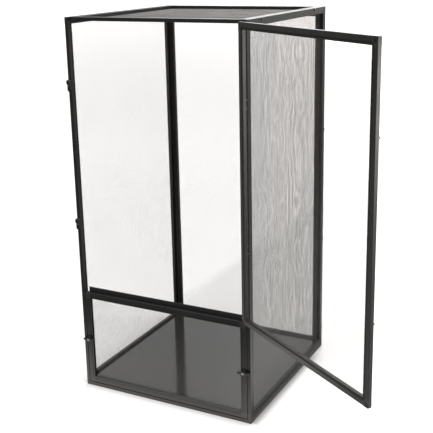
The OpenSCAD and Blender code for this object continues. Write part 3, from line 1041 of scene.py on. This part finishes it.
@dataclass
class EasedPart:
    """A CAD node with its sharp edges eased, as drawn or moulded parts have."""

    node: str
    finish: Finish
    slot: str
    radius: float = 0.2 * MM
    segments: int = 2

    def build(self) -> None:
        """Copies the node, eases its edges and puts the copy in its place."""
        eased = merged_copy(self.node)
        round_edges(eased, self.radius, self.segments)
        settle(eased, f"{self.node}_eased", body_of(self.node), self.finish, [self.node])


@dataclass
class FrameParts:
    """Bars, corner blocks, floor sheet and stop strip."""

    bars: tuple[str, ...] = (
        "base_side_rails", "base_cross_rails",
        "left_front_stile", "left_back_stile", "left_rails",
        "right_front_stile", "right_back_stile", "right_rails",
        "back_left_stile", "back_right_stile", "back_rails",
        "top_left_rail", "top_right_rail", "top_cross_rails",
        "upper_hinge_stile", "upper_latch_stile", "upper_door_rails",
        "lower_left_stile", "lower_right_stile", "lower_door_rails",
    )
    blocks: tuple[str, ...] = (
        "base_corners", "left_corners", "right_corners", "back_corners", "top_corners",
        "upper_door_corners", "lower_door_corners", "stop_strip",
    )

    moulded_ease: float = 0.3 * MM

    def build(self) -> None:
        """Eases every bar, block and sheet."""
        for node in self.bars:
            EasedPart(node, Finish.BARS, "frame_black").build()
        for node in self.blocks:
            EasedPart(node, Finish.BLOCKS, "corner_plastic", self.moulded_ease).build()
        EasedPart("floor_panel", Finish.FLOOR, "floor_sheet", self.moulded_ease).build()


@dataclass
class Hardware:
    """Hinges, pins, studs, turn buttons and latch knobs."""

    hinges: tuple[str, ...] = ("hinge_frame_leaves", "hinge_door_leaves")
    pins: tuple[str, ...] = ("pivot_pins", "hinge_pins")
    spindles: tuple[str, ...] = ("left_latch_spindle", "right_latch_spindle")
    latches: tuple[str, ...] = (
        "high_turn_button", "low_turn_button", "left_latch_knob", "right_latch_knob")
    metal_ease: float = 0.15 * MM
    stud_round: float = 0.7 * MM
    stud_steps: int = 4
    latch_round: float = 0.8 * MM
    latch_steps: int = 3

    def build(self) -> None:
        """Rounds every piece as it is pressed, turned or moulded."""
        for node in self.hinges:
            EasedPart(node, Finish.HINGES, "hinge_black", self.metal_ease).build()
        for node in self.pins:
            EasedPart(node, Finish.STEEL, "steel", self.metal_ease).build()
        for node in self.spindles:
            EasedPart(node, Finish.DULL_STEEL, "steel", self.metal_ease).build()
        EasedPart("pull_studs", Finish.STEEL, "steel", self.stud_round, self.stud_steps).build()
        for node in self.latches:
            EasedPart(node, Finish.LATCHES, "latch_plastic", self.latch_round, self.latch_steps).build()


class Facing(Enum):
    """The way that a screw's head faces, in the frame it is drawn in."""

    FRONT = (0.0, -1.0, 0.0)
    REAR = (0.0, 1.0, 0.0)
    SIDES = (1.0, 0.0, 0.0)
    DOWN = (0.0, 0.0, -1.0)

    def seat(self, box: Span, head_h: float) -> Matrix:
        """The place of a screw whose box is known.

        Args:
            box: The screw's box.
            head_h: Height of its head.

        Returns:
            From a screw on the origin, facing Z, to the real one.
        """
        way = Vector(self.value)
        if self is Facing.SIDES and box.middle.x < 0:
            way.negate()
        reach = abs(box.size.dot(way)) / 2 - head_h
        turn = Vector((0.0, 0.0, 1.0)).rotation_difference(way).to_matrix().to_4x4()
        return Matrix.Translation(box.middle + way * reach) @ turn


@dataclass(frozen=True)
class ScrewSize:
    """The sizes of one kind of pan-head screw."""

    head_h: float
    shank_r: float


FRAME_SCREW = ScrewSize(head_h=2.0 * MM, shank_r=1.5 * MM)
SMALL_SCREW = ScrewSize(head_h=0.85 * MM, shank_r=1.1 * MM)


@dataclass
class PanScrews:
    """Pan-head screws with a cross recess, one for each solid of a CAD node."""

    node: str
    facing: Facing
    kind: ScrewSize
    place: Matrix = field(default_factory=lambda: Matrix.Identity(4))
    finish: Finish = Finish.STEEL
    spin: float = 37.0
    head_sides: int = 40
    dome: float = 0.62
    dome_steps: int = 4
    dome_profile: float = 0.6
    recess_reach: float = 0.95
    recess_half: float = 0.2
    recess_from: float = 0.35
    recess_past: float = 1.5
    recess_taper: tuple[float, float, float] = (0.45, 0.8, 1.0)
    ease: float = 0.08 * MM
    eased_angle: float = 50.0
    shank_sides: int = 24
    shank_overlap: float = 0.05 * MM
    tip: float = 0.35

    def build(self) -> None:
        """Turns one screw and sets a copy on each seat."""
        boxes = solids_in(self.node, self.place)
        way = Vector(self.facing.value)
        head_h = self.kind.head_h
        length = abs(boxes[0].size.dot(way)) - head_h
        head_r = min(boxes[0].size) / 2
        screw = join([self._head(head_r), self._shank(length)])
        copies = []
        for count, box in enumerate(boxes):
            turned = Matrix.Rotation(math.radians(self.spin * count), 4, "Z")
            copies.append(copied(screw, self.place @ self.facing.seat(box, head_h) @ turned))
        bpy.data.objects.remove(screw)
        settle(join(copies), f"{self.node}_turned", body_of(self.node), self.finish, [self.node])

    def _head(self, head_r: float) -> bpy.types.Object:
        """The head, above Z = 0.

        Args:
            head_r: Its radius.

        Returns:
            The domed head with its recess cut.
        """
        head_h = self.kind.head_h
        head = rod(head_r, 0.0, head_h, self.head_sides)
        choose_faces(head, faces_up)
        with editing(head):
            bpy.ops.mesh.bevel(offset=head_h * self.dome, segments=self.dome_steps, profile=self.dome_profile)
        wing = self.kind.shank_r * self.recess_reach
        half = wing * self.recess_half
        for turn in (0.0, 90.0):
            cutter = block((-wing, -half, head_h * self.recess_from), (wing, half, head_h * self.recess_past))
            choose_faces(cutter, faces_down)
            with editing(cutter):
                bpy.ops.transform.resize(value=self.recess_taper)
            subtract(head, moved(cutter, Matrix.Rotation(math.radians(turn), 4, "Z")))
        round_edges(head, self.ease, 1, self.eased_angle)
        return head

    def _shank(self, length: float) -> bpy.types.Object:
        """The shank, below Z = 0, with a blunt tip.

        Args:
            length: Its length.

        Returns:
            The shank.
        """
        shank = rod(self.kind.shank_r, -length, self.shank_overlap, self.shank_sides)
        choose_faces(shank, faces_down)
        with editing(shank):
            bpy.ops.mesh.bevel(offset=self.kind.shank_r * self.tip, segments=1)
        return shank


def screws() -> list[PanScrews]:
    """All the screws, those of the frame and the small ones."""
    door = open_door_place()
    return [
        PanScrews("panel_screws", Facing.SIDES, FRAME_SCREW, finish=Finish.BLACK_SCREWS),
        PanScrews("base_screws", Facing.DOWN, FRAME_SCREW),
        PanScrews("strip_screws", Facing.REAR, SMALL_SCREW),
        PanScrews("button_screws", Facing.FRONT, SMALL_SCREW, finish=Finish.DULL_STEEL),
        PanScrews("frame_leaf_screws", Facing.FRONT, SMALL_SCREW, finish=Finish.PALE_STEEL),
        PanScrews("door_leaf_screws", Facing.FRONT, SMALL_SCREW, door),
    ]


# ---------------------------------------------------------------- studio and camera


HALF_CAGE = 0.2285  # half of the cage's width and depth


@dataclass(frozen=True)
class Lamp:
    """A square soft lamp."""

    name: str
    at: tuple[float, float, float]
    towards: tuple[float, float, float]
    size: float
    watts: float

    def build(self) -> None:
        """Makes the lamp and aims it."""
        data = bpy.data.lights.new(self.name, "AREA")
        data.shape = "SQUARE"
        data.size = self.size
        data.energy = self.watts
        lamp = bpy.data.objects.new(self.name, data)
        lamp.location = self.at
        aim = Vector(self.towards) - Vector(self.at)
        lamp.rotation_euler = aim.to_track_quat("-Z", "Y").to_euler()
        bpy.context.scene.collection.objects.link(lamp)
        log.info("lamp %s: %g W", self.name, self.watts)


@dataclass(frozen=True)
class SeenGlow:
    """The floor's own glow for the camera, by place. Lengths are from the cage's middle."""

    near: float = 0.54
    far: float = 0.21
    far_range: Range = (0.6, 3.0)
    distant: float = 0.22
    distant_range: Range = (2.5, 12.0)
    left: float = 0.18
    left_range: Range = (0.24, 0.32)
    open_floor: float = 0.36
    back_corner_line: tuple[float, float] = (0.9386, 0.345)
    back_corner_range: Range = (-0.006, 0.006)
    right_range: Range = (HALF_CAGE, 0.25)
    front_range: Range = (-0.01, 0.0)
    painted_contact_shadow: float = 0.51
    contact_range: Range = (-0.004, 0.048)
    contact_squeeze: float = 1.2
    contact_back: Range = (0.12, 0.2)
    contact_left: Range = (-0.25, -0.22)
    back: float = 0.06
    back_range: Range = (HALF_CAGE, 0.3)
    side: float = 0.08
    side_distant: float = 0.06
    side_line: tuple[float, float] = (0.9197, 0.3927)  # sight line past the front corner: 0.9042, 0.4271
    side_range: Range = (-0.02, 0.02)
    plain_tint: tuple[float, ...] = (1.012, 1.0, 0.988, 1.0)
    side_tint: tuple[float, ...] = (1.045, 1.0, 0.965, 1.0)

    def shader(self, graph: Graph, x: Value, y: Value) -> bpy.types.Node:
        """The glow, with a painted shadow at the cage's foot and its tint behind the right panel.

        Args:
            graph: The floor's nodes.
            x: Place to the right of the cage's middle.
            y: Place behind the cage's middle.

        Returns:
            The emission node.
        """
        ahead, aside = -HALF_CAGE - y, x - HALF_CAGE
        away = (x * x + y * y) ** 0.5
        far, distant = away.step(*self.far_range), away.step(*self.distant_range)
        beside = (x - HALF_CAGE) * self.back_corner_line[0] + (y - HALF_CAGE) * self.back_corner_line[1]
        right = beside.step(*self.back_corner_range).at_least(x.step(*self.right_range))
        # painted shadow: the glow is lowered in a narrow strip along the cage's foot
        painted_contact_shadow = (1.0 - aside.at_least(ahead * self.contact_squeeze).step(*self.contact_range)) * (
            1.0 - y.step(*self.contact_back)) * x.step(*self.contact_left)
        open_floor = right.at_least(ahead.step(*self.front_range))
        left = (x * -1.0).step(*self.left_range)
        back = y.step(*self.back_range)
        across = (x - HALF_CAGE) * self.side_line[0] + (y + HALF_CAGE) * self.side_line[1]
        through_side = back * across.step(*self.side_range)
        glow = (self.near + far * self.far + distant * self.distant + left * self.left
                + open_floor * self.open_floor - painted_contact_shadow * self.painted_contact_shadow
                - back * self.back + through_side * (self.side + distant * self.side_distant))
        tint = graph.node("ShaderNodeMix", {"data_type": "RGBA"}, in0=through_side,
                          in6=self.plain_tint, in7=self.side_tint).outputs[2]
        return graph.node("ShaderNodeEmission", None, Color=tint, Strength=glow)


@dataclass(frozen=True)
class MirroredGlow:
    """The floor's glow in glossy faces, by place."""

    plain: float = 0.16
    front: float = 2.0
    front_rise: Range = (0.0, 0.004)
    front_fall: Range = (0.1, 0.32)
    side: float = 1.15
    side_rise: Range = (0.012, 0.07)
    side_fall: Range = (0.15, 0.5)
    foot: float = 0.65
    foot_rise: Range = (0.0, 0.002)
    foot_fall: Range = (0.005, 0.01)
    horizon: float = 0.65
    left_away: Range = (3.0, 12.0)
    left_edge: Range = (-7.0, -2.5)
    back_away: Range = (2.2, 8.0)
    back_edge: Range = (0.0, 1.0)
    glint: float = 9.5
    glint_rise: Range = (2.5, 4.5)
    glint_fall: Range = (1.0, 2.5)
    tint: tuple[float, ...] = (1.03, 1.0, 0.95, 1.0)

    def shader(self, graph: Graph, x: Value, y: Value) -> bpy.types.Node:
        """Bright floor at the front and the right, and a bright horizon on two sides.

        Args:
            graph: The floor's nodes.
            x: Place to the right of the cage's middle.
            y: Place behind the cage's middle.

        Returns:
            The emission node.
        """
        ahead, aside = -HALF_CAGE - y, x - HALF_CAGE
        away = (x * x + y * y) ** 0.5
        front = ahead.band(self.front_rise, self.front_fall)
        side = aside.band(self.side_rise, self.side_fall)
        foot = aside.band(self.foot_rise, self.foot_fall)
        horizon = (away.step(*self.left_away) * x.step(*self.left_edge)).at_least(
            away.step(*self.back_away) * y.step(*self.back_edge))
        glint = x.step(*self.glint_rise) * (1.0 - y.at_least(y * -1.0).step(*self.glint_fall))
        glow = (self.plain + self.front * front + self.side * side + self.foot * foot
                + self.horizon * horizon + self.glint * glint)
        return graph.node("ShaderNodeEmission", None, Color=self.tint, Strength=glow)


@dataclass(frozen=True)
class WhiteFloor:
    """White floor that keeps the cage's soft shadow."""

    name: str = "studio_floor"
    size: float = 60.0
    seen_paint: tuple[float, ...] = (0.455, 0.45, 0.445, 1.0)
    plain_paint: tuple[float, ...] = (0.72, 0.72, 0.73, 1.0)
    seen: SeenGlow = SeenGlow()
    mirrored: MirroredGlow = MirroredGlow()

    def build(self) -> None:
        """Lays the floor."""
        deselect()
        bpy.ops.mesh.primitive_plane_add(size=self.size, location=(0, 0, 0))
        floor = bpy.context.object
        floor.name = self.name
        floor.data.materials.append(self._material())

    def _material(self) -> bpy.types.Material:
        """Shadowed paint with a glow for the camera, another glow in glossy faces, paint for the rest.

        Returns:
            The material.
        """
        material = bpy.data.materials.new(self.name)
        graph = Graph(material)
        rays = graph.node("ShaderNodeLightPath")
        x, y, _ = graph.axes("Object")
        paint = graph.node("ShaderNodeBsdfDiffuse", None, Color=self.seen_paint)
        glow = self.seen.shader(graph, x, y)
        seen = graph.node("ShaderNodeAddShader", None, in0=paint.outputs[0], in1=glow.outputs[0])
        plain = graph.node("ShaderNodeBsdfDiffuse", None, Color=self.plain_paint)
        others = graph.mixed(rays.outputs["Is Glossy Ray"], plain, self.mirrored.shader(graph, x, y))
        mix = graph.mixed(graph.seen_directly(rays), others, seen)
        graph.feed(graph.node("ShaderNodeOutputMaterial").inputs[0], mix.outputs[0])
        return material


@dataclass(frozen=True)
class Surroundings:
    """White behind the cage in every reflection, dim in front, and an even soft light.

    Ranges are parts of a direction: to the right, to the back or upwards.
    """

    soft: float = 0.53
    direct: float = 1.1
    dim: float = 0.12
    mirrored: float = 0.98
    behind: Range = (-0.1, 0.5)
    left_middle: float = 0.35
    left_middle_range: Range = (-0.45, -0.33)
    right_dim: float = 0.7
    right_range: Range = (0.3, 0.47)
    window: float = 3.0
    window_rise: Range = (-0.58, -0.44)
    window_fall: Range = (-0.25, -0.05)
    window_top: Range = (0.12, 0.35)
    low_left: float = 0.35
    low_left_edge: Range = (-0.62, -0.48)
    low_left_top: Range = (0.15, 0.35)
    overhead: float = 0.5
    overhead_range: Range = (0.45, 0.9)

    def _mirror(self, sideways: Value, backwards: Value, height: Value) -> Value:
        """Brightness in glossy faces.

        Args:
            sideways: The direction's part to the right.
            backwards: Its part to the back.
            height: Its part upwards.

        Returns:
            The brightness.
        """
        sides = (1.0 + self.left_middle * sideways.step(*self.left_middle_range)) * (
            1.0 - self.right_dim * sideways.step(*self.right_range))
        window = sideways.band(self.window_rise, self.window_fall)
        low_band = window * (1.0 - height.step(*self.window_top))
        left = self.low_left + (1.0 - self.low_left) * sideways.step(*self.low_left_edge).at_least(
            height.step(*self.low_left_top))
        behind = backwards.step(*self.behind) * (sides * left + self.window * low_band)
        above = height.step(*self.overhead_range)
        return self.dim + self.mirrored * behind.at_least(above * self.overhead)

    def build(self) -> None:
        """Makes the world."""
        world = bpy.data.worlds.new("studio")
        bpy.context.scene.world = world
        graph = Graph(world)
        rays = graph.node("ShaderNodeLightPath")
        mirror = self._mirror(*graph.axes("Generated"))
        direct = graph.seen_directly(rays)
        glossy = graph.value(rays.outputs["Is Glossy Ray"]) * (1.0 - direct)
        soft = (1.0 - direct) * (1.0 - glossy)
        strength = direct * self.direct + glossy * mirror + soft * self.soft
        white = graph.node("ShaderNodeBackground", None, Color=(1.0, 1.0, 1.0, 1.0), Strength=strength)
        graph.feed(graph.node("ShaderNodeOutputWorld").inputs[0], white.outputs[0])


@dataclass(frozen=True)
class Studio:
    """White sweep in a dim room, with soft lamps at the front left, over the top and at the right."""

    floor: WhiteFloor = WhiteFloor()
    surroundings: Surroundings = Surroundings()
    lamps: tuple[Lamp, ...] = (
        Lamp("overhead", (-0.9, -1.2, 3.4), (0.0, 0.0, 0.4), 2.4, 64.0),
        Lamp("top_box", (0.75, 0.75, 1.75), (0.0, 0.0, 0.9), 0.5, 18.0),
        Lamp("right_box", (2.7, -0.15, 0.78), (0.58, 0.0, 0.75), 0.7, 7.0),
    )

    def build(self) -> None:
        """Builds the floor, the world and the lamps."""
        self.floor.build()
        self.surroundings.build()
        for lamp in self.lamps:
            lamp.build()


@dataclass(frozen=True)
class PhotoCamera:
    """The camera that took the photograph, worked out from the cage's corners."""

    at: tuple[float, float, float] = (0.98579, -1.83155, 1.03977)
    heading: float = 27.935
    tilt: float = 14.894
    roll: float = -1.291
    focal_px: float = 862.04
    centre_px: tuple[float, float] = (210.16, 185.62)
    sensor_mm: float = 36.0
    sight: float = 100.0

    def build(self) -> None:
        """Makes the camera and its shift."""
        data = bpy.data.cameras.new("photo_camera")
        data.sensor_width = self.sensor_mm
        data.sensor_fit = "HORIZONTAL"
        data.lens = self.focal_px * self.sensor_mm / PHOTO_PX
        half = PHOTO_PX / 2
        data.shift_x = (half - self.centre_px[0]) / PHOTO_PX
        data.shift_y = (self.centre_px[1] - half) / PHOTO_PX
        data.clip_end = self.sight
        camera = bpy.data.objects.new("photo_camera", data)
        turn = Matrix.Rotation(math.radians(self.heading), 4, "Z")
        pitch = Matrix.Rotation(math.radians(90.0 - self.tilt), 4, "X")
        roll = Matrix.Rotation(math.radians(self.roll), 4, "Z")
        camera.matrix_world = Matrix.Translation(self.at) @ turn @ pitch @ roll
        bpy.context.scene.collection.objects.link(camera)
        bpy.context.scene.camera = camera


# ---------------------------------------------------------------- the whole cage


def panels() -> list[MeshPanel]:
    """The six mesh panels with their places."""
    quarter = math.radians(90)
    return [
        MeshPanel("left", "root", Matrix.Rotation(-quarter, 4, "Z"), seed=0.0),
        MeshPanel("right", "root", Matrix.Rotation(quarter, 4, "Z"), seed=1.3),
        MeshPanel("back", "root", Matrix.Rotation(2 * quarter, 4, "Z"), seed=2.7),
        MeshPanel("top", "root", Matrix.Rotation(-quarter, 4, "X"), seed=3.9),
        MeshPanel("upper_door", "upper_door", open_door_place(), seed=5.2),
        MeshPanel("lower_door", "lower_door", Matrix.Identity(4), seed=6.4),
    ]


def main() -> None:
    """Builds the camera, the studio and the dressed cage."""
    logging.basicConfig(level=logging.INFO, format="%(name)s: %(message)s")
    bpy.context.scene.view_settings.view_transform = "Standard"
    PhotoCamera().build()
    Studio().build()
    FrameParts().build()
    Hardware().build()
    for kind in screws():
        kind.build()
    for panel in panels():
        panel.build()


if __name__ == "__main__":
    main()
